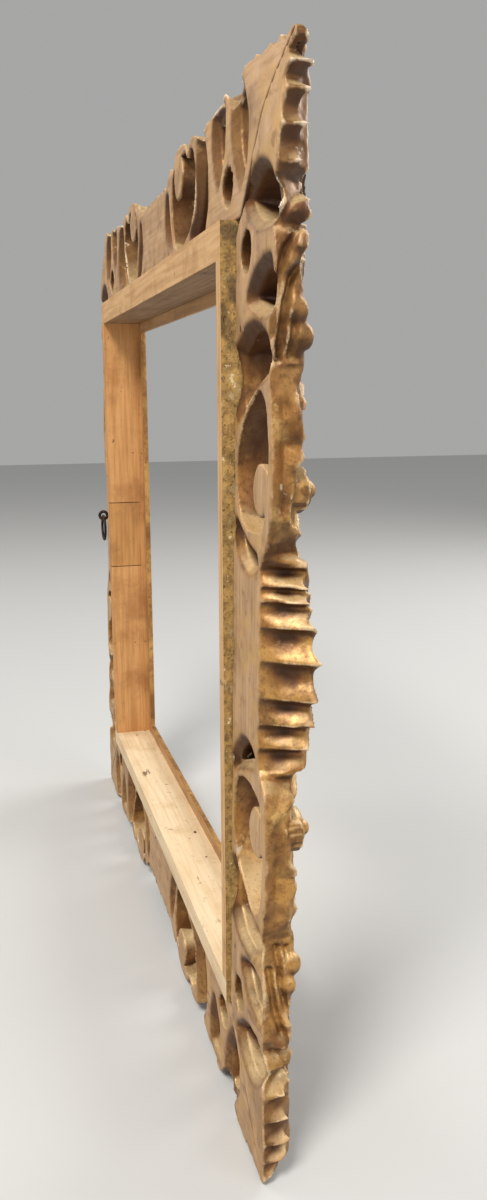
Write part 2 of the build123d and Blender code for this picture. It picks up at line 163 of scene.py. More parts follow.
# Fan at the middle of each side: ridges along the side, rim, depths and the button at its root
FAN_RIDGES = [-58, -45, -31, -16.5, 5, 24, 38, 46, 57]
FAN_HALF, FAN_ROOT, FAN_CENTRE_BACK = 60.0, 8.0, 9.0
FAN_RIM, FAN_RIM_FALL, FAN_RIM_HALF = 74.5, 10.0, 58.0
FAN_BACK_RIM = 55.5
FAN_ROOT_FRONT, FAN_RIM_FRONT, FAN_END_FALL = 42.5, 36.0, 7.0
FAN_FLUTE_ROOT, FAN_FLUTE_GAIN = 0.6, 4.0
FAN_FADE, FAN_OUT = 3.0, (4, 10)
BUTTON_R, BUTTON_REACH, BUTTON_BASE, BUTTON_FLATTEN = 9.0, 9.4, 36.5, 0.85

# Corner leaf: ridges from the corner, end curls, and the curl of the tip away from the back
LEAF_RIDGES = [-3, 15, 31, 47, 58.5, 68.5]
RIB_DEPTH, RIB_LEAN = 3.0, 0.18
VEIN_DEPTH, VEIN_LIP, VEIN_WIDTH, VEIN_SIDE = 2.4, 1.2, 2.2, 5
# Ranges along the mitre, outwards and away from the mitre
LEAF_START, LOBES_END, LOW_TIP_START = (6, 24), (106, 92), (86, 106)
LOBES_OUT, RIBS_ASIDE = (50, 70), (2, 12)
LEAF_LIFT_TOP, LEAF_LIFT_BOTTOM, LOW_TIP_FALL = 3.0, 1.0, 14.0
TIP_CURL_TOP, TIP_CURL_BOTTOM = 8.0, 1.0
TIP_CURL_START, TIP_CURL_RUN = 62.0, 43.0

# Outer edge: place along the side and reach, at the back and at the front of the border,
# counted from the middle up to the crest and from the corner beyond it
BACK_EDGE_MIDDLE = [
    (0, 55), (48, 55), (56, 57), (63, 60), (70, 66), (82, 70), (104, 72), (128, 71), (146, 68),
    (158, 65.5),
]
FRONT_EDGE_MIDDLE = [
    (0, 74), (58, 64), (64, 58), (72, 63), (84, 69), (98, 72), (112, 70), (121, 67), (134, 72.5),
    (144, 70), (152, 66), (159, 64),
]
BACK_EDGE_CORNER = [
    (-80, 65.5), (-66, 67.5), (-52, 70), (-36, 71.5), (-22, 72), (-13, 69), (-6, 72.5), (2, 73),
    (8.5, 71.5), (15, 73.5), (40, 74), (80, 74.4),
]
FRONT_EDGE_CORNER = [
    (-80, 65), (-76, 64.5), (-66, 70.5), (-58, 69), (-53, 71), (-45, 69), (-37, 68), (-30, 72.5),
    (-25, 71.5), (-21, 74), (-16, 74.4), (-12, 67), (-7, 72.4), (2, 72.4), (8.5, 67), (15, 74.4),
    (80, 74.4),
]
CORNER_PART = -79.0
EDGE_MEAN = 70.0
# Depths cut into the outer edge: the leaf's hollows and the fan's flutes at the back, and what
# they gain towards the front, then the long hollow of the strap with its place and width
LEAF_CUT, LEAF_CUT_GAIN = 0.8, 8.8
FAN_CUT, FAN_CUT_GAIN, FAN_UNDERCUT = 2.4, 4.8, 1.7
STRAP_HOLLOW, HOLLOW_START, HOLLOW_END = (3.6, 9.0, 4.0), (80, 92), (152, 140)
# Depths over which the leaf's and the fan's cuts grow, the fan flares and the edge turns
LEAF_CUT_RUN, FAN_CUT_RUN, FAN_FLARE_RUN, EDGE_TURN = 16.0, (-1.0, 17), 26.0, (1.5, 15)
# Hollows that run along the leaves of the outer face: places from the corner and depths of the
# line, then how deep and how wide it is
LEAF_HOLLOWS = [
    ([(-76, 13), (-52, 15), (-36, 19), (-25, 27)], 4.6, 2.1),
    ([(-74, 19), (-56, 21), (-45, 26)], 3.6, 1.9),
    ([(-64, 8), (-38, 11), (-24, 15), (-15, 21)], 4.4, 2.2),
    ([(-12, 10), (-4, 16), (5, 24)], 2.4, 1.8),
]
# Notches in the back edge of the level rails: place from the corner, depth and width
LEVEL_NOTCHES = [(-14, 9.0, 8.0), (-87, 5.0, 5.0), (-124, 7.5, 7.0), (-172, 8.0, 7.0)]
# Round curls at the leaves' ends: place from the corner, reach, rise over the front, radii
CURLS = [
    (-52.5, 66.0, -1.6, (6.0, 5.0, 4.4)),
    (-65.0, 64.6, 0.6, (6.8, 5.4, 5.2)),
]
CURL_BLEND = 2.4

# Rounding of the edges: at the outer face, at the front and at the back
SIDE_ROUND, FRONT_ROUND, BACK_ROUND = 0.8, 1.5, 0.4
# Room left at the seat on the box, outwards and in depth
SEAT_GAP, LAP_GAP = 0.1, 0.02
# Room left inside the greatest reach and the greatest depth
EDGE_ROOM = 0.1

# Hand-cut unevenness: heights in mm, each with its number of random cells along and across
WARP_ALONG = [(1.0, (22, 4)), (0.4, (60, 9))]
WARP_OUT = [(0.6, (22, 4)), (0.3, (60, 9))]
FRONT_UNEVEN = [(0.3, (110, 14))]
EDGE_WANDER = [(0.9, (26, 3)), (0.4, (80, 8))]
EDGE_UNEVEN = [(0.4, (120, 10))]
BACK_UNEVEN = [(0.25, (50, 7))]
SURFACE_UNEVEN = [(0.22, (90, 13, 8))]
FIRST_SEED = 31
# The unevenness fades in outwards from the box, and the back's away from the mitre
CALM_OUT, CALM_ASIDE = (-4, 12), (1.5, 9.0)

# How far the marks for the materials look round, and how deep the bare wood of the back goes
CREST_SPREAD, HOLLOW_SPREAD, BARE_DEPTH = 1.7, 7.0, 0.8


# Fields on a grid
def smooth(x, lo, hi):
    """0 at lo and 1 at hi, with an even change between them."""
    t = np.clip((x - lo) / (hi - lo), 0.0, 1.0)
    return t * t * (3.0 - 2.0 * t)


def smax(a, b, k):
    """The greater of two fields, rounded over k where they are alike."""
    h = np.clip(0.5 + 0.5 * (a - b) / k, 0.0, 1.0)
    return b + (a - b) * h + k * h * (1.0 - h)


def smin(a, b, k):
    return -smax(-a, -b, k)


def bell(x):
    return np.exp(-x * x)


def by_table(x, table):
    return np.interp(x, [p[0] for p in table], [p[1] for p in table])


def lattice_noise(shape, cells, gen):
    """Smooth random field between -1 and 1 on a grid of the given shape."""
    field = gen.uniform(-1.0, 1.0, [c + 2 for c in cells])
    for axis, (n, c) in enumerate(zip(shape, cells)):
        x = np.linspace(0, c, n)
        i = np.minimum(x.astype(int), c)
        t = x - i
        t = t * t * (3 - 2 * t)
        view = [1] * len(shape)
        view[axis] = n
        t = t.reshape(view)
        field = np.take(field, i, axis) * (1 - t) + np.take(field, i + 1, axis) * t
    return field


def uneven(shape, layers, gen):
    return sum(height * lattice_noise(shape, cells, gen) for height, cells in layers)


def arc_points(a, b, c):
    """Points of the arc that runs from a through b to c, without c."""
    (ax, ay), (bx, by), (cx, cy) = a, b, c
    turn = 2 * (ax * (by - cy) + bx * (cy - ay) + cx * (ay - by))
    sa, sb, sc = ax * ax + ay * ay, bx * bx + by * by, cx * cx + cy * cy
    mx = (sa * (by - cy) + sb * (cy - ay) + sc * (ay - by)) / turn
    my = (sa * (cx - bx) + sb * (ax - cx) + sc * (bx - ax)) / turn
    t0, t1, t2 = (math.atan2(y - my, x - mx) for x, y in (a, b, c))
    full = 2 * math.pi
    over, sweep = (t1 - t0) % full, (t2 - t0) % full
    if over > sweep:
        sweep -= full
    radius = math.hypot(ax - mx, ay - my)
    angles = [t0 + sweep * i / ARC_STEPS for i in range(ARC_STEPS)]
    return [(mx + radius * math.cos(t), my + radius * math.sin(t)) for t in angles]


def arc_loop(shares):
    points = [(along * REACH, out * REACH) for along, out in shares]
    points.append(points[0])
    loop = []
    for i in range(0, len(points) - 1, 2):
        loop += arc_points(points[i], points[i + 1], points[i + 2])
    return loop


def loop_distance(x, y, loop):
    """Signed distance to a closed loop, below zero inside."""
    best = np.full(x.shape, 1e9)
    inside = np.zeros(x.shape, bool)
    for (ax, ay), (bx, by) in zip(loop, loop[1:] + loop[:1]):
        dx, dy = bx - ax, by - ay
        t = np.clip(((x - ax) * dx + (y - ay) * dy) / (dx * dx + dy * dy + 1e-9), 0, 1)
        best = np.minimum(best, (x - ax - t * dx) ** 2 + (y - ay - t * dy) ** 2)
        inside ^= ((ay > y) != (by > y)) & (x < (bx - ax) * (y - ay) / (by - ay + 1e-12) + ax)
    d = np.sqrt(best)
    return np.where(inside, -d, d)


def path_distance(x, y, points):
    """Distance to an open line through the points."""
    best = np.full(x.shape, 1e9)
    for (ax, ay), (bx, by) in zip(points, points[1:]):
        dx, dy = bx - ax, by - ay
        t = np.clip(((x - ax) * dx + (y - ay) * dy) / (dx * dx + dy * dy), 0, 1)
        best = np.minimum(best, np.hypot(x - ax - t * dx, y - ay - t * dy))
    return best


def scallop(x, ridges, sharp, skew=1.0):
    """0 on each ridge and 1 in the hollow between two ridges, nearer the higher one if skewed."""
    out = np.zeros_like(x)
    for lo, hi in zip(ridges, ridges[1:]):
        t = (x - lo) / (hi - lo)
        m = (t >= 0) & (t <= 1)
        out[m] = np.sin(np.pi * t[m] ** skew) ** sharp
    return out


def cell_corners():
    return [(i, j, k) for i in (0, 1) for j in (0, 1) for k in (0, 1)]


def sample(f, origin, at):
    """Values of the field at the points, between those of the grid."""
    g = (at - origin) / STEP
    i = np.clip(g.astype(int), 0, np.array(f.shape) - 2)
    t = g - i
    total = 0
    for c in cell_corners():
        w = np.prod(np.where(np.array(c), t, 1 - t), axis=1)
        total = total + w * f[tuple((i + c).T)]
    return total


def spread(f, sigma):
    """The field blurred over sigma mm."""
    waves = np.fft.rfftn(f)
    gain = 1.0
    for axis, n in enumerate(f.shape):
        freq = np.fft.rfftfreq(n) if axis == 2 else np.fft.fftfreq(n)
        view = [1, 1, 1]
        view[axis] = -1
        gain = gain * np.exp(-2 * (np.pi * freq * sigma / STEP) ** 2).reshape(view)
    return np.fft.irfftn(waves * gain, f.shape, axes=(0, 1, 2))


# Surface of a field
def cell_points(f, cells):
    """One point in each cell: the middle of the places where the cell's edges are cut."""
    place = np.zeros((len(cells), 3))
    count = np.zeros(len(cells))
    for c in cell_corners():
        for axis in range(3):
            if c[axis]:
                continue
            e = list(c)
            e[axis] = 1
            v0 = f[tuple((cells + c).T)]
            v1 = f[tuple((cells + e).T)]
            cut = (v0 < 0) != (v1 < 0)
            t = np.where(cut, v0 / np.where(v0 == v1, 1, v0 - v1), 0)
            way = np.zeros(3)
            way[axis] = 1
            place += cut[:, None] * (np.array(c) + t[:, None] * way)
            count += cut
    return cells + place / count[:, None]


def edge_quads(inside, ids, axis):
    """A quad round each cut edge along the axis, facing out of the solid."""
    n = ids.shape
    b, c = (axis + 1) % 3, (axis + 2) % 3
    lo = [slice(None)] * 3
    hi = [slice(None)] * 3
    lo[axis], hi[axis] = slice(0, -1), slice(1, None)
    edge = np.argwhere(inside[tuple(lo)] != inside[tuple(hi)])
    ok = (edge[:, b] > 0) & (edge[:, c] > 0) & (edge[:, b] < n[b]) & (edge[:, c] < n[c])
    edge = edge[ok]
    ring = []
    for back_b, back_c in ((1, 1), (0, 1), (0, 0), (1, 0)):
        cell = edge.copy()
        cell[:, b] -= back_b
        cell[:, c] -= back_c
        ring.append(ids[tuple(cell.T)])
    quad = np.stack(ring, 1)
    out_first = ~inside[tuple(edge.T)]
    quad[out_first] = quad[out_first][:, ::-1]
    return quad


def surface_nets(f, origin):
    """Surface where the field is zero, as one point in each cut cell and quads between them."""
    inside = f < 0
    n = np.array(f.shape) - 1
    total = np.zeros(n, np.int8)
    for i, j, k in cell_corners():
        total += inside[i:i + n[0], j:j + n[1], k:k + n[2]]
    cells = np.argwhere((total > 0) & (total < 8))
    ids = np.full(n, -1, np.int64)
    ids[tuple(cells.T)] = np.arange(len(cells))
    quads = [edge_quads(inside, ids, axis) for axis in range(3)]
    return origin + cell_points(f, cells) * STEP, np.vstack(quads)


def largest_piece(verts, quads):
    """The points and quads of the largest joined piece, without specks beside it."""
    group = np.arange(len(verts))
    while True:
        low = group[quads].min(axis=1)
        new = group.copy()
        np.minimum.at(new, quads.ravel(), np.repeat(low, 4))
        new = new[new]
        if np.array_equal(new, group):
            break
        group = new
    names, sizes = np.unique(group[quads[:, 0]], return_counts=True)
    keep = group == names[np.argmax(sizes)]
    number = np.cumsum(keep) - 1
    return verts[keep], number[quads[keep[quads[:, 0]]]]


def into_scene(name, data):
    obj = bpy.data.objects.new(name, data)
    bpy.context.scene.collection.objects.link(obj)
    return obj


def build_mesh(name, verts, quads, marks):
    mesh = bpy.data.meshes.new(name)
    mesh.vertices.add(len(verts))
    mesh.vertices.foreach_set("co", np.ascontiguousarray(verts, np.float32).ravel())
    mesh.loops.add(quads.size)
    mesh.loops.foreach_set("vertex_index", np.ascontiguousarray(quads, np.int32).ravel())
    mesh.polygons.add(len(quads))
    mesh.polygons.foreach_set("loop_start", np.arange(0, quads.size, 4, dtype=np.int32))
    mesh.update(calc_edges=True)
    mesh.validate()
    mesh.shade_smooth()
    for key, values in marks.items():
        layer = mesh.attributes.new(key, "FLOAT", "POINT")
        layer.data.foreach_set("value", np.ascontiguousarray(values, np.float32))
    return into_scene(name, mesh)


# Plan of a rail: places along it and outwards, distances from its middle and from the box's
# corner, height over the frame's middle, distances to the openings and to the volute
Plan = namedtuple("Plan", "along out from_middle from_corner height holes volute")


def rail_grid(side):
    """Least corner of the grid, and its places along the side, outwards and in depth."""
    reach = SIDES[side][3]
    start = np.array([-reach - REACH - PAD, -LAPS[side] - PAD, BEHIND_BACK - PAD])
    stop = np.array([reach + REACH + PAD, REACH + PAD, FRONT + PAD])
    shape = np.ceil((stop - start) / STEP).astype(int) + 1
    return start, [start[i] + STEP * np.arange(shape[i]) for i in range(3)]


def warped_plan(side, flat_along, flat_out, gen):
    """The drawing, a little uneven as if cut by hand."""
    origin, x_dir, y_dir, reach = SIDES[side]
    shape = flat_along.shape
    calm = smooth(flat_out, *CALM_OUT)
    along = flat_along + calm * uneven(shape, WARP_ALONG, gen)
    out = flat_out + calm * uneven(shape, WARP_OUT, gen)
    from_middle = np.abs(along)
    from_corner = from_middle - reach
    height = origin[2] + along * x_dir[2] + out * y_dir[2] - MID_Z
    holes = {}
    for name, shares in OPENINGS_FROM_MIDDLE.items():
        holes[name] = loop_distance(from_middle, out, arc_loop(shares))
    for name, shares in OPENINGS_FROM_CORNER.items():
        holes[name] = loop_distance(from_corner, out, arc_loop(shares))
    volute = np.hypot(from_middle - VOLUTE_AT, out - VOLUTE_OUT)
    return Plan(along, out, from_middle, from_corner, height, holes, volute)


def opening_field(plan):
    """Below zero in the openings. The scroll's leaves its volute, which hangs by a neck."""
    aside = np.maximum(np.abs(plan.from_middle - VOLUTE_AT) - NECK_HALF, 0)
    neck = np.hypot(aside, np.maximum(NECK_FOOT - plan.out, 0)) - NECK_ROUND
    hole = np.maximum(plan.holes["scroll"], -smin(plan.volute - VOLUTE_R, neck, 3))
    for name in RIMS:
        hole = np.minimum(hole, plan.holes[name])
    return hole


def front_plane(height, out):
    """Depth of the plain front, which leans back downwards and falls outwards."""
    return LAP_FRONT + FRONT_SLOPE * height - FALL_RATE * np.maximum(out - FRONT_FLAT, 0)


def leaf_flutes(plan):
    """Leaves between the crest and the corner, as flutes that fan out."""
    turn = np.arctan2(plan.out - FLUTE_OUT, plan.from_corner - FLUTE_FROM_CORNER)
    ends = smooth(plan.from_corner, *FLUTES_START) * smooth(plan.from_corner, *FLUTES_END)
    flutes = FLUTE_HEIGHT * np.abs(np.sin(turn * FLUTE_TURNS)) ** 0.7 - FLUTE_SINK
    return ends * smooth(plan.out, *FLUTES_OUT) * flutes


def strap_relief(plan):
    """The strap sinks round the volute, so that its drum stands free, and has fine flutes."""
    sunk = STRAP_SINK * smooth(plan.volute, *SINK_ROUND) * smooth(plan.out, *SINK_OUT)
    ends = smooth(plan.from_middle, *STRAP_START) * smooth(plan.from_middle, *STRAP_END)
    flutes = STRAP_FLUTE_HEIGHT * np.cos((plan.out - STRAP_FLUTE_START) * STRAP_FLUTE_RATE)
    return ends * smooth(plan.out, *STRAP_OUT) * flutes - sunk


def corner_leaf(plan):
    """Vein on the mitre, ribs to the notches, and lobes that lift at their ends."""
    across = np.abs(plan.from_corner - plan.out) / math.sqrt(2)
    ahead = (plan.from_corner + plan.out) / math.sqrt(2)
    upper = plan.height > 0
    leaf = smooth(ahead, *LEAF_START)
    outer = np.maximum(plan.from_corner, plan.out)
    rib = scallop(outer - RIB_LEAN * across, LEAF_RIDGES, 0.9)
    lift = np.where(upper, LEAF_LIFT_TOP, LEAF_LIFT_BOTTOM) * smooth(ahead, *LOBES_END)
    vein = ridge(across, VEIN_LIP, VEIN_SIDE, VEIN_WIDTH) - ridge(across, VEIN_DEPTH, 0, VEIN_WIDTH)
    ribs = smooth(across, *RIBS_ASIDE) * RIB_DEPTH * rib
    lobes = smooth(outer, *LOBES_OUT) * lift * (1 - rib) - ribs
    tip_fall = np.where(upper, 0.0, LOW_TIP_FALL) * smooth(ahead, *LOW_TIP_START)
    return leaf * (lobes + vein) - tip_fall


def fan_rim(from_middle):
    return FAN_RIM - FAN_RIM_FALL * (from_middle / FAN_RIM_HALF) ** 2


def fan_front(plan):
    """Depth of the fan's front: it falls from the root to the rim, with flutes between ridges."""
    rim = fan_rim(plan.from_middle)
    run = np.clip((plan.out - FAN_ROOT) / (rim - FAN_ROOT), 0, 1)
    turn = np.arctan2(plan.along, plan.out - FAN_ROOT + FAN_CENTRE_BACK)
    ridge_turns = [math.atan2(a, fan_rim(a) - FAN_ROOT + FAN_CENTRE_BACK) for a in FAN_RIDGES]
    flute = scallop(turn, ridge_turns, 0.75)
    to_end = np.clip(plan.from_middle / FAN_HALF, 0, 1)
    rim_front = FAN_RIM_FRONT - FAN_END_FALL * to_end ** 1.3
    front = FAN_ROOT_FRONT + (rim_front - FAN_ROOT_FRONT) * run ** 1.6
    return front - (FAN_FLUTE_ROOT + FAN_FLUTE_GAIN * run) * flute


def with_fan(front, plan):
    mask = smooth(plan.from_middle, FAN_HALF, FAN_HALF - FAN_FADE) * smooth(plan.out, *FAN_OUT)
    front = front + (fan_front(plan) - front) * mask
    root = np.hypot(plan.along, plan.out - FAN_ROOT)
    button = BUTTON_BASE + np.sqrt(np.maximum(BUTTON_R ** 2 - root ** 2, 0)) * BUTTON_FLATTEN
    return np.where(root < BUTTON_REACH, np.maximum(front, button), front)


def with_volute(front, plan):
    """Adds the volute: a rolled spiral that rises to the ball at its eye."""
    spin = np.arctan2(plan.out - VOLUTE_OUT, plan.from_middle - VOLUTE_AT)
    inward = VOLUTE_R - plan.volute
    rolled = front_plane(plan.height, VOLUTE_OUT) + VOLUTE_RISE
    wave = COIL_HEIGHT * np.cos(2 * np.pi * plan.volute / COIL_PITCH - spin)
    coil = rolled + COIL_LIFT * inward + wave * smooth(inward, 0.5, 3)
    front = np.where(inward > 0, np.maximum(coil, front - DRUM_DROP), front)
    ball = rolled + BALL_RISE + np.sqrt(np.maximum(BALL_R ** 2 - plan.volute ** 2, 0))
    return np.where(plan.volute < BALL_R, ball, front)


def ridge(distance, height, place, width):
    return height * bell((distance - place) / width)


def carved_front(plan, gen):
    """Depth of the front surface."""
    front = front_plane(plan.height, plan.out)
    scroll = plan.holes["scroll"]
    front = front + ridge(scroll, *SCROLL_RIM) + ridge(scroll, *SCROLL_GROUND)
    for name, height in RIMS.items():
        front = front + ridge(plan.holes[name], height, RIM_PLACE, RIM_WIDTH)
    front = front - ridge(plan.out, QUIRK_DEPTH, FRONT_FLAT, QUIRK_WIDTH)
    front = front + leaf_flutes(plan) + strap_relief(plan) + corner_leaf(plan)
    front = with_volute(with_fan(front, plan), plan)
    front = front + uneven(front.shape, FRONT_UNEVEN, gen)
    return np.minimum(front, FRONT - EDGE_ROOM)


def edge_reach(from_middle, from_corner, middle_table, corner_table):
    middle, corner = by_table(from_middle, middle_table), by_table(from_corner, corner_table)
    return np.where(from_corner < CORNER_PART, middle, corner)


def table_edges(from_middle, from_corner, level):
    """Reach of the outer edge at the back and at the front of the border."""
    back = edge_reach(from_middle, from_corner, BACK_EDGE_MIDDLE, BACK_EDGE_CORNER)
    front = edge_reach(from_middle, from_corner, FRONT_EDGE_MIDDLE, FRONT_EDGE_CORNER)
    if level:
        for place, depth, width in LEVEL_NOTCHES:
            back = back - ridge(from_corner, depth, place, width)
    return back, front


def fan_edge(along, behind, climb):
    """Reach of the fan: it flares to the front, with one ridge over each lobe. On the uprights
    the flutes are undercut where they face down."""
    flare = np.clip(behind / FAN_FLARE_RUN, 0, 1) ** 0.9
    flared = FAN_BACK_RIM + (fan_rim(along) - EDGE_ROOM - FAN_BACK_RIM) * flare
    upward = along * climb if climb else along
    flutes = scallop(upward, FAN_RIDGES, 0.75, FAN_UNDERCUT if climb else 1.0)
    return flared - flutes * (FAN_CUT + FAN_CUT_GAIN * smooth(behind, *FAN_CUT_RUN))


def carved_edge(side, a, d, gen):
    """Outward reach of the border at a place along the side and a depth."""
    origin, x_dir, y_dir, reach = SIDES[side]
    flat_along, depth_at = np.meshgrid(a, d, indexing="ij")
    height = origin[2] + flat_along * x_dir[2] + EDGE_MEAN * y_dir[2]
    back = SET_BOTTOM + BACK_SLOPE * (height - BOX_Z0)
    along = flat_along + uneven(flat_along.shape, EDGE_WANDER, gen)
    from_middle = np.abs(along)
    from_corner = from_middle - reach
    climb = x_dir[2]
    behind = depth_at - back
    back_edge, front_edge = table_edges(from_middle, from_corner, not climb)
    edge = back_edge + (front_edge - back_edge) * smooth(behind, *EDGE_TURN)
    # corner leaf: sharp ridges that run to the front, with rounded hollows between
    ribs = scallop(from_corner, LEAF_RIDGES, 1.05)
    edge = edge - ribs * (LEAF_CUT + LEAF_CUT_GAIN * np.clip(behind / LEAF_CUT_RUN, 0, 1) ** 1.1)
    fan_end = FAN_HALF + 0.5
    in_fan = smooth(from_middle, fan_end, fan_end - FAN_FADE)
    edge = edge + (fan_edge(along, behind, climb) - edge) * in_fan
    # long hollow in the outer face of the strap, and hollows along the leaves
    strap = smooth(from_middle, *HOLLOW_START) * smooth(from_middle, *HOLLOW_END)
    edge = edge - strap * ridge(behind, *STRAP_HOLLOW)
    for points, deep, width in LEAF_HOLLOWS:
        edge = edge - deep * bell(path_distance(from_corner, depth_at, points) / width)
    edge = edge + uneven(edge.shape, EDGE_UNEVEN, gen)
    return np.minimum(edge, REACH - EDGE_ROOM)


def carved_back(side, flat_along, flat_out, holes, gen):
    """Depth of the back, which curls forward at the leaf's tip, and the same with its dishes."""
    origin, x_dir, y_dir, reach = SIDES[side]
    world_z = origin[2] + flat_along * x_dir[2] + flat_out * y_dir[2]
    past_corner = np.abs(flat_along) - reach
    ahead = (past_corner + flat_out) / math.sqrt(2)
    tip = np.clip((ahead - TIP_CURL_START) / TIP_CURL_RUN, 0, 1)
    plain = SET_BOTTOM + BACK_SLOPE * (world_z - BOX_Z0)
    plain = plain + np.where(world_z > MID_Z, TIP_CURL_TOP, TIP_CURL_BOTTOM) * tip ** 1.3
    off_mitre = smooth(np.abs(past_corner - flat_out), *CALM_ASIDE)
    plain = plain + off_mitre * uneven(flat_along.shape, BACK_UNEVEN, gen)
    dished = plain
    for name, (depth, width) in DISHES.items():
        dished = dished + depth * bell(np.maximum(holes[name], 0) / width)
    return plain, dished


def with_curls(f, side, along, out, depth_at):
    origin, x_dir, y_dir, reach = SIDES[side]
    for place, curl_out, rise, radii in CURLS:
        for end in (-1, 1):
            centre = end * (reach + place)
            height = origin[2] + centre * x_dir[2] + curl_out * y_dir[2] - MID_Z
            deep = front_plane(height, curl_out) + rise
            away = zip((along - centre, out - curl_out, depth_at - deep), radii)
            ball = np.sqrt(sum((gap / radius) ** 2 for gap, radius in away))
            f = smin(f, (ball - 1) * min(radii), CURL_BLEND)
    return f


def fit_to_neighbours(f, side, along, out, depth_at):
    """Cuts the seat on the box, the inner edge of the lap and the mitres."""
    reach, lap = SIDES[side][3], LAPS[side]
    f = np.maximum(f, -np.maximum(out - SEAT_GAP, depth_at - BOX_D - LAP_GAP))
    f = np.maximum(f, -lap - out)
    for sign, other in zip((-1, 1), NEIGHBOURS[side]):
        dx, dy = LAPS[other] + REACH, lap + REACH
        n = math.hypot(dx, dy)
        f = np.maximum(f, (sign * along - reach - REACH) * dy / n - (out - REACH) * dx / n)
    return f


def close_ends(f):
    for axis in range(3):
        np.moveaxis(f, axis, 0)[[0, -1]] = 1.0


def rail_field(side, gen):
    """Grid start, solid field of the rail, depth of its plain back, and field with the box."""
    start, (a, u, d) = rail_grid(side)
    flat_along, flat_out = np.meshgrid(a, u, indexing="ij")
    plan = warped_plan(side, flat_along, flat_out, gen)
    front = carved_front(plan, gen)[:, :, None]
    edge = carved_edge(side, a, d, gen)[:, None, :]
    plain, dished = carved_back(side, flat_along, flat_out, plan.holes, gen)
    wall = WALL + (STRAP_WALL - WALL) * smooth(plan.from_middle, *STRAP_WALL_RANGE)
    along, out, depth_at = flat_along[:, :, None], flat_out[:, :, None], d[None, None, :]
    behind = depth_at - dished[:, :, None]
    # the walls of the openings are hollowed between the back and the front
    widened = OPENING_ROOM + OPENING_WIDEN * smooth(behind, *WIDEN_RANGE)
    grow = widened - OPENING_CLOSE * smooth(behind, *CLOSE_RANGE)
    pierced = np.maximum(opening_field(plan)[:, :, None] - grow, out - edge + wall[:, :, None])
    f = smax(-pierced, out - edge, SIDE_ROUND)
    f = smax(f, depth_at - front, FRONT_ROUND)
    f = with_curls(f, side, along, out, depth_at)
    f = smax(f, -behind, BACK_ROUND)
    f = f + uneven(f.shape, SURFACE_UNEVEN, gen)
    f = np.maximum(f, -0.05 - behind)
    with_box = np.minimum(f, np.maximum(out, depth_at - BOX_D))
    f = fit_to_neighbours(f, side, along, out, depth_at)
    close_ends(f)
    return start, f, plain, with_box


def surface_marks(start, verts, plain, with_box):
    """Where the surface is bare wood, a crest or a hollow, for the materials."""
    filled = np.clip(0.5 - with_box / (2 * STEP), 0, 1)
    near = sample(spread(filled, CREST_SPREAD), start, verts)
    wide = sample(spread(filled, HOLLOW_SPREAD), start, verts)
    back_at = sample(np.broadcast_to(plain[:, :, None], with_box.shape), start, verts)
    bare = np.clip(1.0 - (verts[:, 2] - back_at) / BARE_DEPTH, 0, 1)
    return {"bare": bare, "crest": 0.5 - near, "hollow": wide - 0.5}


def carved_rail(side, gen):
    origin, x_dir, y_dir, _ = SIDES[side]
    start, f, plain, with_box = rail_field(side, gen)
    verts, quads = largest_piece(*surface_nets(f, start))
    x, y, z = (np.array(way, float) for way in (x_dir, y_dir, (0, -1, 0)))
    world = np.array(origin) + verts[:, :1] * x + verts[:, 1:2] * y + verts[:, 2:] * z
    if np.dot(np.cross(x, y), z) < 0:
        quads = quads[:, ::-1]
    marks = surface_marks(start, verts, plain, with_box)
    rail = build_mesh("border_" + side, world * MM, quads, marks)
    rail.data.materials.append(carved_gilding("carved_gilding_" + side, GRAIN[side]))
    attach(rail, "frame")
    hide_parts("carved_" + side)


def carve_border():
    for number, side in enumerate(SIDES):
        carved_rail(side, np.random.default_rng(FIRST_SEED + number))


# Colours
def srgb(r, g, b):
    def one(v):
        v /= 255.0
        return v / 12.92 if v <= 0.04045 else ((v + 0.055) / 1.055) ** 2.4
    return (one(r), one(g), one(b))


# Bare wood: pale, dark and stained
WOOD_NEAR = (srgb(214, 172, 122), srgb(178, 134, 86), srgb(160, 114, 68))
WOOD_FAR = (srgb(212, 158, 100), srgb(180, 124, 72), srgb(160, 104, 56))
WOOD_LOW = (srgb(232, 208, 172), srgb(214, 184, 142), srgb(202, 170, 126))
WOOD_PATCH = (srgb(200, 146, 88), srgb(164, 112, 62), srgb(142, 94, 50))
WOOD_PEG = (srgb(150, 110, 70), srgb(120, 84, 50), srgb(100, 70, 42))
WOOD_CARVED = (srgb(196, 158, 118), srgb(158, 122, 84), srgb(140, 104, 68))
WOOD_STRIP = (srgb(196, 152, 102), srgb(158, 116, 74), srgb(140, 98, 58))
WORM_DARK = srgb(44, 28, 16)
# Painted shade on the faces of the box that point down
LINER_UNDER_SHADE = srgb(74, 50, 32)
SAW_CUT = srgb(58, 38, 24)
WOOD_SPECK, WOOD_MARK = srgb(112, 78, 46), srgb(92, 60, 34)
BACK_GILT, BACK_STAIN, BACK_MARK = srgb(192, 150, 92), srgb(116, 82, 50), srgb(104, 72, 42)
# Gilding
GOLD_LIGHT, GOLD_DEEP, GOLD_DULL = srgb(204, 156, 86), srgb(160, 110, 54), srgb(122, 78, 38)
GOLD_STAIN, RED_GROUND = srgb(112, 72, 38), srgb(128, 72, 42)
# Darker towards the top, as painted shade and patina; browner towards the foot
TOP_SHADE_AND_PATINA, FOOT_BROWN = srgb(100, 64, 36), srgb(124, 86, 52)
# Painted shade with dark patina in the hollows, and painted shade on what faces down
HOLLOW_BROWN, HOLLOW_DARK, UNDER_SHADE = srgb(118, 72, 34), srgb(56, 34, 20), srgb(70, 42, 23)
SMUDGE_DARK, SMUDGE_PALE = srgb(84, 52, 28), srgb(232, 190, 120)
# Pale dust and painted light on what faces up
TOP_DUST_AND_LIGHT, SPECK = srgb(234, 202, 150), srgb(82, 52, 28)
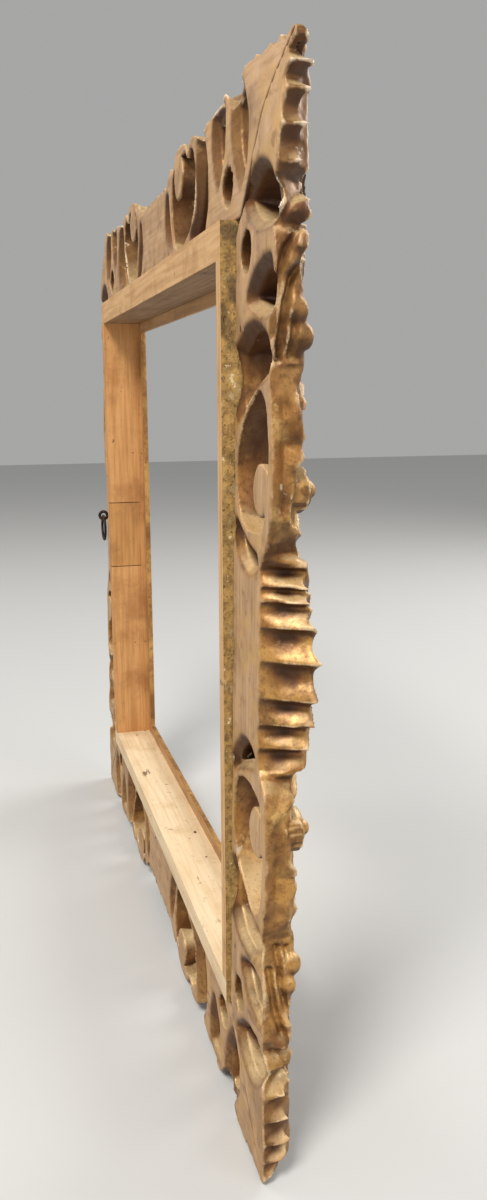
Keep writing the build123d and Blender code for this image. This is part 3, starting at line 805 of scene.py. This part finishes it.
# Crests: worn gesso and wood, also painted highlight; the palest on the crests high up
RIDGE_PALE, RIDGE_WOOD, RIDGE_TOP = srgb(228, 198, 154), srgb(198, 152, 104), srgb(242, 224, 198)
GESSO, SIGHT_GESSO = srgb(206, 188, 156), srgb(206, 190, 160)
# Rough gold on the outer faces of the box
ROUGH_LIGHT, ROUGH_DARK, ROUGH_FLECK = srgb(200, 162, 98), srgb(138, 108, 64), srgb(96, 72, 44)
ROUGH_PATCH, ROUGH_GESSO, ROUGH_CHIP = srgb(98, 80, 56), srgb(196, 172, 128), srgb(232, 208, 164)
# Iron
IRON_DARK, RUST, RING_RUST = srgb(46, 40, 36), srgb(92, 62, 42), srgb(80, 60, 46)

LEAF_METALLIC = 0.42
# Half the distance between the saw cuts, and where a cut's dark starts and is full, in metres
CUT_REACH, CUT_FADE, CUT_FULL = 0.035, 0.0012, 0.0005


# Materials
class Nodes:
    def __init__(self, name):
        self.mat = bpy.data.materials.new(name)
        self.mat.use_nodes = True
        self.tree = self.mat.node_tree
        self.tree.nodes.clear()
        out = self.new("OutputMaterial")
        self.bsdf = self.new("BsdfPrincipled")
        self.link(self.bsdf.outputs[0], out.inputs[0])

    def new(self, kind, **settings):
        """A shader node, with its inputs set by name."""
        node = self.tree.nodes.new("ShaderNode" + kind)
        for key, value in settings.items():
            self.put(node.inputs[key.replace("_", " ")], value)
        return node

    def link(self, a, b):
        self.tree.links.new(a, b)

    def put(self, socket, value):
        if isinstance(value, bpy.types.NodeSocket):
            self.link(value, socket)
        else:
            socket.default_value = value

    def surface(self, key, value):
        self.put(self.bsdf.inputs[key], value)

    def coords(self, scale=(1, 1, 1), shift=(0, 0, 0)):
        c = self.new("TexCoord").outputs["Object"]
        return self.new("Mapping", Scale=scale, Location=shift, Vector=c).outputs[0]

    def noise(self, scale, detail, rough, vector=None, distortion=0.0):
        n = self.new("TexNoise", Scale=scale, Detail=detail, Roughness=rough, Distortion=distortion)
        self.link(vector if vector is not None else self.coords(), n.inputs["Vector"])
        return n.outputs["Fac"]

    def voronoi(self, scale, vector, output):
        return self.new("TexVoronoi", Scale=scale, Vector=vector).outputs[output]

    def attribute(self, name):
        n = self.new("Attribute")
        n.attribute_name = name
        return n.outputs["Fac"]

    def math(self, op, a, b=0.0):
        n = self.new("Math")
        n.operation = op
        self.put(n.inputs[0], a)
        self.put(n.inputs[1], b)
        return n.outputs[0]

    def fold(self, op, values):
        out = values[0]
        for value in values[1:]:
            out = self.math(op, out, value)
        return out

    def times(self, *values):
        return self.fold("MULTIPLY", values)

    def plus(self, *values):
        return self.fold("ADD", values)

    def minus(self, a, b):
        return self.math("SUBTRACT", a, b)

    def greatest(self, *values):
        return self.fold("MAXIMUM", values)

    def shaken(self, value, noise, amount):
        """The value moved up and down by the noise."""
        return self.plus(value, self.times(self.minus(noise, 0.5), amount))

    def band(self, value, lo, hi, out_lo=0.0, out_hi=1.0):
        to = {"To_Min": out_lo, "To_Max": out_hi}
        n = self.new("MapRange", Value=value, From_Min=lo, From_Max=hi, **to)
        n.interpolation_type = "SMOOTHSTEP"
        return n.outputs[0]

    def mix(self, fac, a, b):
        n = self.new("Mix")
        n.data_type = "RGBA"
        self.put(n.inputs[0], fac)
        self.put(n.inputs[6], a if isinstance(a, bpy.types.NodeSocket) else (*a, 1.0))
        self.put(n.inputs[7], b if isinstance(b, bpy.types.NodeSocket) else (*b, 1.0))
        return n.outputs[2]

    def bump(self, height, strength, distance):
        n = self.new("Bump", Strength=strength, Distance=distance, Height=height)
        self.link(n.outputs[0], self.bsdf.inputs["Normal"])

    def height(self):
        return self.new("SeparateXYZ", Vector=self.coords()).outputs["Z"]

    def facing(self, axis):
        """Part of the surface's direction that points along a world axis."""
        g = self.new("NewGeometry")
        return self.new("SeparateXYZ", Vector=g.outputs["Normal"]).outputs[axis]


def along_grain(axis, stretch):
    scale = [1.0, 1.0, 1.0]
    scale["XYZ".index(axis)] = stretch
    return tuple(scale)


def bare_wood(m, axis, pale, dark, stain):
    """Colour of bare wood, and its grain for the bump."""
    streak = m.noise(300, 5, 0.6, m.coords(along_grain(axis, 0.05)), 0.3)
    broad = m.noise(55, 3, 0.5, m.coords(along_grain(axis, 0.12)))
    blot = m.noise(24, 4, 0.62)
    c = m.mix(m.band(streak, 0.36, 0.70, 0.0, 0.75), pale, dark)
    c = m.mix(m.band(broad, 0.46, 0.74, 0.0, 0.5), c, dark)
    return m.mix(m.band(blot, 0.48, 0.74, 0.0, 0.65), c, stain), streak


def worm_holes(m, axis, scale, amount):
    """1 on small holes, drawn out a little along the grain, here and there."""
    where = m.coords(along_grain(axis, 0.6))
    near = m.voronoi(scale, where, "Distance")
    pick = m.new("SeparateColor", Color=m.voronoi(scale, where, "Color")).outputs[0]
    chance = m.plus(pick, m.band(m.noise(14, 2, 0.5), 0.42, 0.66, 0, amount))
    return m.times(m.band(near, 0.10, 0.15, 1, 0), m.math("GREATER_THAN", chance, 0.94))


def dark_marks(m):
    """Thin dark knocks and scratches, two ways."""
    one = m.noise(95, 3, 0.5, m.coords((0.25, 1.0, 1.0)), 0.6)
    other = m.noise(120, 3, 0.5, m.coords((1.0, 1.0, 0.3), (0.4, 0.2, 0.7)), 0.6)
    return m.greatest(m.band(one, 0.70, 0.74), m.band(other, 0.71, 0.75))


def outer_gold(m, c, mask):
    """Rough flecked gold and gesso that ran over the outer face of the box."""
    fleck = m.noise(420, 4, 0.7)
    gold = m.mix(m.band(m.noise(120, 6, 0.7), 0.36, 0.66), ROUGH_LIGHT, ROUGH_DARK)
    gold = m.mix(m.band(fleck, 0.52, 0.66, 0, 0.85), gold, ROUGH_FLECK)
    gold = m.mix(m.band(m.noise(34, 4, 0.6), 0.54, 0.64, 0, 0.8), gold, ROUGH_PATCH)
    gold = m.mix(m.band(m.noise(60, 5, 0.65), 0.58, 0.66, 0, 0.8), gold, ROUGH_GESSO)
    gold = m.mix(m.band(m.noise(210, 5, 0.6), 0.62, 0.68), gold, ROUGH_CHIP)
    return m.mix(mask, c, gold), m.times(mask, fleck)


def saw_cuts(m, c, middle, half):
    """Two thin dark lines across the wood, at the same distance from the middle height."""
    off = m.math("ABSOLUTE", m.minus(m.height(), middle))
    return m.mix(m.band(off, half - CUT_FADE, half - CUT_FULL), c, SAW_CUT)


def wood_material(name, axis, colours, outer=(), holes=0.3, marks=0.5, under_shade=0.0, cuts=None):
    """Bare softwood. The outer faces, given by world axis and sign, carry rough gold. Holes, marks
    and the painted shade on faces that point down are shares, and cuts are the middle height and
    half distance of two saw cuts."""
    m = Nodes(name)
    c, streak = bare_wood(m, axis, *colours)
    c = m.mix(m.band(m.noise(150, 6, 0.7), 0.56, 0.76, 0, 0.4), c, WOOD_SPECK)
    c = m.mix(m.times(dark_marks(m), marks), c, WOOD_MARK)
    worm = worm_holes(m, axis, 105, holes)
    c = m.mix(worm, c, WORM_DARK)
    # painted shade: the faces that point down are darkened
    c = m.mix(m.times(m.band(m.facing("Z"), -0.5, -0.9), under_shade), c, LINER_UNDER_SHADE)
    if cuts:
        c = saw_cuts(m, c, *cuts)
    height = m.minus(m.times(streak, 0.22), m.times(worm, 1.6))
    if outer:
        faces = [m.band(m.times(m.facing(way), sign), 0.5, 0.8) for way, sign in outer]
        c, rough = outer_gold(m, c, m.greatest(*faces))
        height = m.plus(height, m.times(rough, 1.4))
    m.surface("Base Color", c)
    m.surface("Roughness", m.band(streak, 0.2, 0.8, 0.62, 0.80))
    m.surface("Specular IOR Level", 0.3)
    m.bump(height, 0.55, 0.0011)
    return m.mat


def gold_leaf(m, patch, fine):
    """Water gilding worn to the red ground in places."""
    c = m.mix(m.band(patch, 0.34, 0.66), GOLD_LIGHT, GOLD_DEEP)
    c = m.mix(m.band(fine, 0.46, 0.70, 0, 0.75), c, GOLD_DULL)
    c = m.mix(m.band(m.noise(19, 4, 0.6), 0.50, 0.70, 0, 0.6), c, GOLD_STAIN)
    red = m.band(m.noise(90, 5, 0.65), 0.60, 0.68)
    return m.mix(m.times(red, 0.55), c, RED_GROUND)


def patina_and_painted_shade(m, c, level, hollow, fine, upward):
    """Browner towards the foot, darker towards the top as painted shade and patina, painted shade
    with dark patina in the hollows, and painted shade on what faces down.
    """
    # painted shade and patina towards the top
    c = m.mix(m.band(level, 0.42, 0.54, 0.0, 0.7), c, TOP_SHADE_AND_PATINA)
    c = m.mix(m.band(level, 0.16, 0.05, 0.0, 0.5), c, FOOT_BROWN)
    # painted shade with dark patina in the hollows
    hollow_shade_and_patina = m.shaken(hollow, fine, 0.10)
    c = m.mix(m.band(hollow_shade_and_patina, -0.14, 0.03, 0.0, 0.8), c, HOLLOW_BROWN)
    c = m.mix(m.band(hollow_shade_and_patina, -0.03, 0.12, 0.0, 0.92), c, HOLLOW_DARK)
    smudge = m.noise(44, 6, 0.68)
    c = m.mix(m.band(smudge, 0.53, 0.63, 0.0, 0.6), c, SMUDGE_DARK)
    c = m.mix(m.band(smudge, 0.40, 0.30, 0.0, 0.55), c, SMUDGE_PALE)
    # painted shade: what faces down is darkened
    return m.mix(m.band(upward, 0.12, -0.60, 0.0, 0.85), c, UNDER_SHADE)


def worn_and_highlit_ridges(m, c, crest, level, patch, speck):
    """Leaf rubbed through to gesso and wood on the ridges, also a painted highlight, palest on the
    crests high up, and how far it is rubbed.
    """
    crest_wear_and_light = m.shaken(crest, m.noise(90, 6, 0.68), 0.34)
    # worn gesso on the crests, also painted highlight
    rub_and_highlight = m.times(m.band(crest_wear_and_light, 0.11, 0.22), m.band(speck, 0.30, 0.55, 0.6, 1.0))
    ridge_colour = m.mix(m.band(patch, 0.42, 0.60), RIDGE_PALE, RIDGE_WOOD)
    ridge_colour = m.mix(m.times(m.band(level, 0.48, 0.58), m.band(crest, 0.14, 0.26)), ridge_colour, RIDGE_TOP)
    return m.mix(m.times(rub_and_highlight, 0.88), c, ridge_colour), rub_and_highlight


def carved_back_wood(m, axis):
    """Bare wood at the back of the carving: colour, grain and worm holes."""
    wood, streak = bare_wood(m, axis, *WOOD_CARVED)
    wood = m.mix(m.band(m.noise(40, 6, 0.7), 0.48, 0.64, 0, 0.75), wood, BACK_GILT)
    wood = m.mix(m.band(m.noise(70, 6, 0.7), 0.55, 0.68, 0, 0.55), wood, BACK_STAIN)
    worm = worm_holes(m, axis, 100, 0.22)
    wood = m.mix(worm, wood, WORM_DARK)
    return m.mix(m.times(dark_marks(m), 0.5), wood, BACK_MARK), streak, worm


def carved_gilding(name, axis):
    m = Nodes(name)
    crest, hollow, bare = (m.attribute(key) for key in ("crest", "hollow", "bare"))
    patch, fine, speck = m.noise(36, 5, 0.6), m.noise(170, 6, 0.65), m.noise(620, 3, 0.6)
    upward = m.facing("Z")
    level = m.shaken(m.height(), m.noise(16, 4, 0.6), 0.25)
    c = patina_and_painted_shade(m, gold_leaf(m, patch, fine), level, hollow, fine, upward)
    # dust, worn gesso and painted light on what faces up
    dust_and_light = m.times(m.band(upward, 0.30, 0.95), m.band(patch, 0.30, 0.62, 0.35, 0.85))
    c = m.mix(m.times(dust_and_light, m.band(hollow, 0.06, -0.08)), c, TOP_DUST_AND_LIGHT)
    c = m.mix(m.band(speck, 0.56, 0.68, 0.0, 0.4), c, SPECK)
    c, rub_and_highlight = worn_and_highlit_ridges(m, c, crest, level, patch, speck)
    chip = m.band(m.noise(62, 5, 0.62), 0.68, 0.70)
    c = m.mix(m.times(chip, 0.75), c, GESSO)
    wood, streak, worm = carved_back_wood(m, axis)
    gilt = m.minus(1.0, m.greatest(bare, rub_and_highlight, chip))
    height = m.plus(m.times(fine, 0.6), m.times(speck, 0.25), m.times(streak, bare, 0.6))
    height = m.minus(height, m.plus(m.times(chip, 0.5), m.times(worm, bare, 1.5)))
    m.surface("Base Color", m.mix(bare, c, wood))
    m.surface("Metallic", m.times(gilt, LEAF_METALLIC))
    m.surface("Roughness", m.plus(m.band(fine, 0.25, 0.75, 0.36, 0.6), m.times(bare, 0.22)))
    m.bump(height, 0.5, 0.0009)
    return m.mat


def sight_gilding(name, axis):
    """Gilding on the face of the sight strips, bare wood on their backs."""
    m = Nodes(name)
    patch, fine = m.noise(38, 5, 0.6), m.noise(170, 6, 0.65)
    c = gold_leaf(m, patch, fine)
    chip = m.band(m.noise(60, 5, 0.62), 0.66, 0.69)
    c = m.mix(m.times(chip, 0.8), c, SIGHT_GESSO)
    wood, streak = bare_wood(m, axis, *WOOD_STRIP)
    behind = m.band(m.facing("Y"), 0.4, 0.8)
    m.surface("Base Color", m.mix(behind, c, wood))
    m.surface("Metallic", m.times(m.minus(1.0, behind), LEAF_METALLIC))
    m.surface("Roughness", m.plus(m.band(fine, 0.25, 0.75, 0.36, 0.6), m.times(behind, 0.2)))
    m.bump(m.plus(m.times(fine, 0.6), m.times(streak, behind, 0.5)), 0.45, 0.0008)
    return m.mat


def iron_material(name, rust):
    m = Nodes(name)
    patch = m.noise(240, 5, 0.65)
    m.surface("Base Color", m.mix(m.band(patch, 0.42, 0.66), IRON_DARK, rust))
    m.surface("Roughness", m.band(patch, 0.3, 0.7, 0.42, 0.8))
    m.surface("Metallic", m.band(patch, 0.45, 0.65, 0.8, 0.2))
    m.bump(patch, 0.5, 0.0006)
    return m.mat


def give(node, mat):
    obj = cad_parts[node]
    if not obj.material_slots:
        obj.data.materials.append(mat)
    for s in obj.material_slots:
        s.link = "OBJECT"
        s.material = mat


def dress_box():
    ends = (("X", -1), ("X", 1))
    give("liner_top", wood_material("box_wood_top", "X", WOOD_NEAR, (("Z", 1), *ends), under_shade=0.7))
    low_faces = (("Z", -1), *ends)
    give("liner_bottom", wood_material("box_wood_bottom", "X", WOOD_LOW, low_faces, 0.25, 0.8))
    give("liner_left", wood_material("box_wood_left", "Z", WOOD_NEAR, (("X", -1),)))
    give("liner_right", wood_material("box_wood_right", "Z", WOOD_FAR, (("X", 1),), 0.42, 0.7))
    patch_low, patch_size = node_box("liner_patch")
    cut_places = ((patch_low[2] + patch_size[2] / 2) * MM, CUT_REACH)
    give("liner_patch", wood_material("patch_wood", "Z", WOOD_PATCH, (), 0.5, 0.7, cuts=cut_places))
    give("lap_pegs", wood_material("peg_wood", "Y", WOOD_PEG, (), 0.0, 0.3))


def dress_strips():
    for side, grain in GRAIN.items():
        give("sight_strip_" + side, sight_gilding("sight_gilding_" + side, grain))


def dress_iron():
    iron = iron_material("old_iron", RUST)
    give("border_nails", iron)
    give("screw_eye", iron)
    give("hanging_ring", iron_material("ring_iron", RING_RUST))


# Floor, light and camera
FLOOR_SPAN = 6.0
FLOOR_COLOUR, WORLD_COLOUR, WORLD_STRENGTH = (0.62, 0.62, 0.61, 1), (0.80, 0.80, 0.79, 1), 0.48
WARM, SOFT_WARM = (1.0, 0.97, 0.92), (1.0, 0.98, 0.95)
# Lamps: place, target, size, power and colour
LAMPS = {
    "key": ((-1.2, 0.9, 2.2), (-0.1, 0, 0.3), 0.8, 46, WARM),
    "fill": ((-1.8, -1.2, 1.2), (-0.2, 0, 0.3), 1.4, 9, SOFT_WARM),
    "rim": ((1.4, 1.6, 1.7), (0, 0, 0.3), 1.2, 14, SOFT_WARM),
    "front": ((0.7, -1.9, 1.4), (0, 0, 0.3), 1.4, 26, SOFT_WARM),
}
# Camera: place in metres, turns in radians, lens and height of the sensor in mm
CAMERA_PLACE = (-0.78255, 0.15533, 0.46058)
CAMERA_YAW, CAMERA_PITCH, CAMERA_ROLL = -0.272874, -0.211617, 0.003936
LENS, SENSOR_HEIGHT = 28.5, 36.0


def area_light(name, place, target, size, power, colour):
    lamp = bpy.data.lights.new(name, "AREA")
    lamp.shape = "DISK"
    lamp.size = size
    lamp.energy = power
    lamp.color = colour
    obj = into_scene(name, lamp)
    obj.location = place
    obj.rotation_euler = (Vector(target) - Vector(place)).to_track_quat("-Z", "Y").to_euler()


def lay_floor():
    corners = [(x * FLOOR_SPAN, y * FLOOR_SPAN, 0) for x, y in ((-1, -1), (1, -1), (1, 1), (-1, 1))]
    mesh = bpy.data.meshes.new("floor")
    mesh.from_pydata(corners, [], [(0, 1, 2, 3)])
    into_scene("floor", mesh)
    paper = Nodes("floor")
    paper.surface("Base Color", FLOOR_COLOUR)
    paper.surface("Roughness", 0.9)
    mesh.materials.append(paper.mat)


def light_studio():
    for name, settings in LAMPS.items():
        area_light(name, *settings)
    world = bpy.data.worlds.new("world")
    bpy.context.scene.world = world
    world.use_nodes = True
    sky = world.node_tree.nodes["Background"]
    sky.inputs["Color"].default_value = WORLD_COLOUR
    sky.inputs["Strength"].default_value = WORLD_STRENGTH


def place_camera():
    camera = bpy.data.cameras.new("camera")
    camera.sensor_fit = "VERTICAL"
    camera.sensor_height = SENSOR_HEIGHT
    camera.lens = LENS
    obj = into_scene("camera", camera)
    level_share = math.cos(CAMERA_PITCH)
    x, y = level_share * math.cos(CAMERA_YAW), level_share * math.sin(CAMERA_YAW)
    ahead = Vector((x, y, math.sin(CAMERA_PITCH)))
    level = ahead.cross(Vector((0, 0, 1))).normalized()
    upright = level.cross(ahead)
    right = level * math.cos(CAMERA_ROLL) - upright * math.sin(CAMERA_ROLL)
    up = upright * math.cos(CAMERA_ROLL) + level * math.sin(CAMERA_ROLL)
    turn = Matrix((right, up, -ahead)).transposed().to_4x4()
    obj.matrix_world = Matrix.Translation(Vector(CAMERA_PLACE)) @ turn
    bpy.context.scene.camera = obj
    bpy.context.scene.view_settings.view_transform = "Standard"


dress_box()
dress_strips()
dress_iron()
carve_border()
lay_floor()
light_studio()
place_camera()
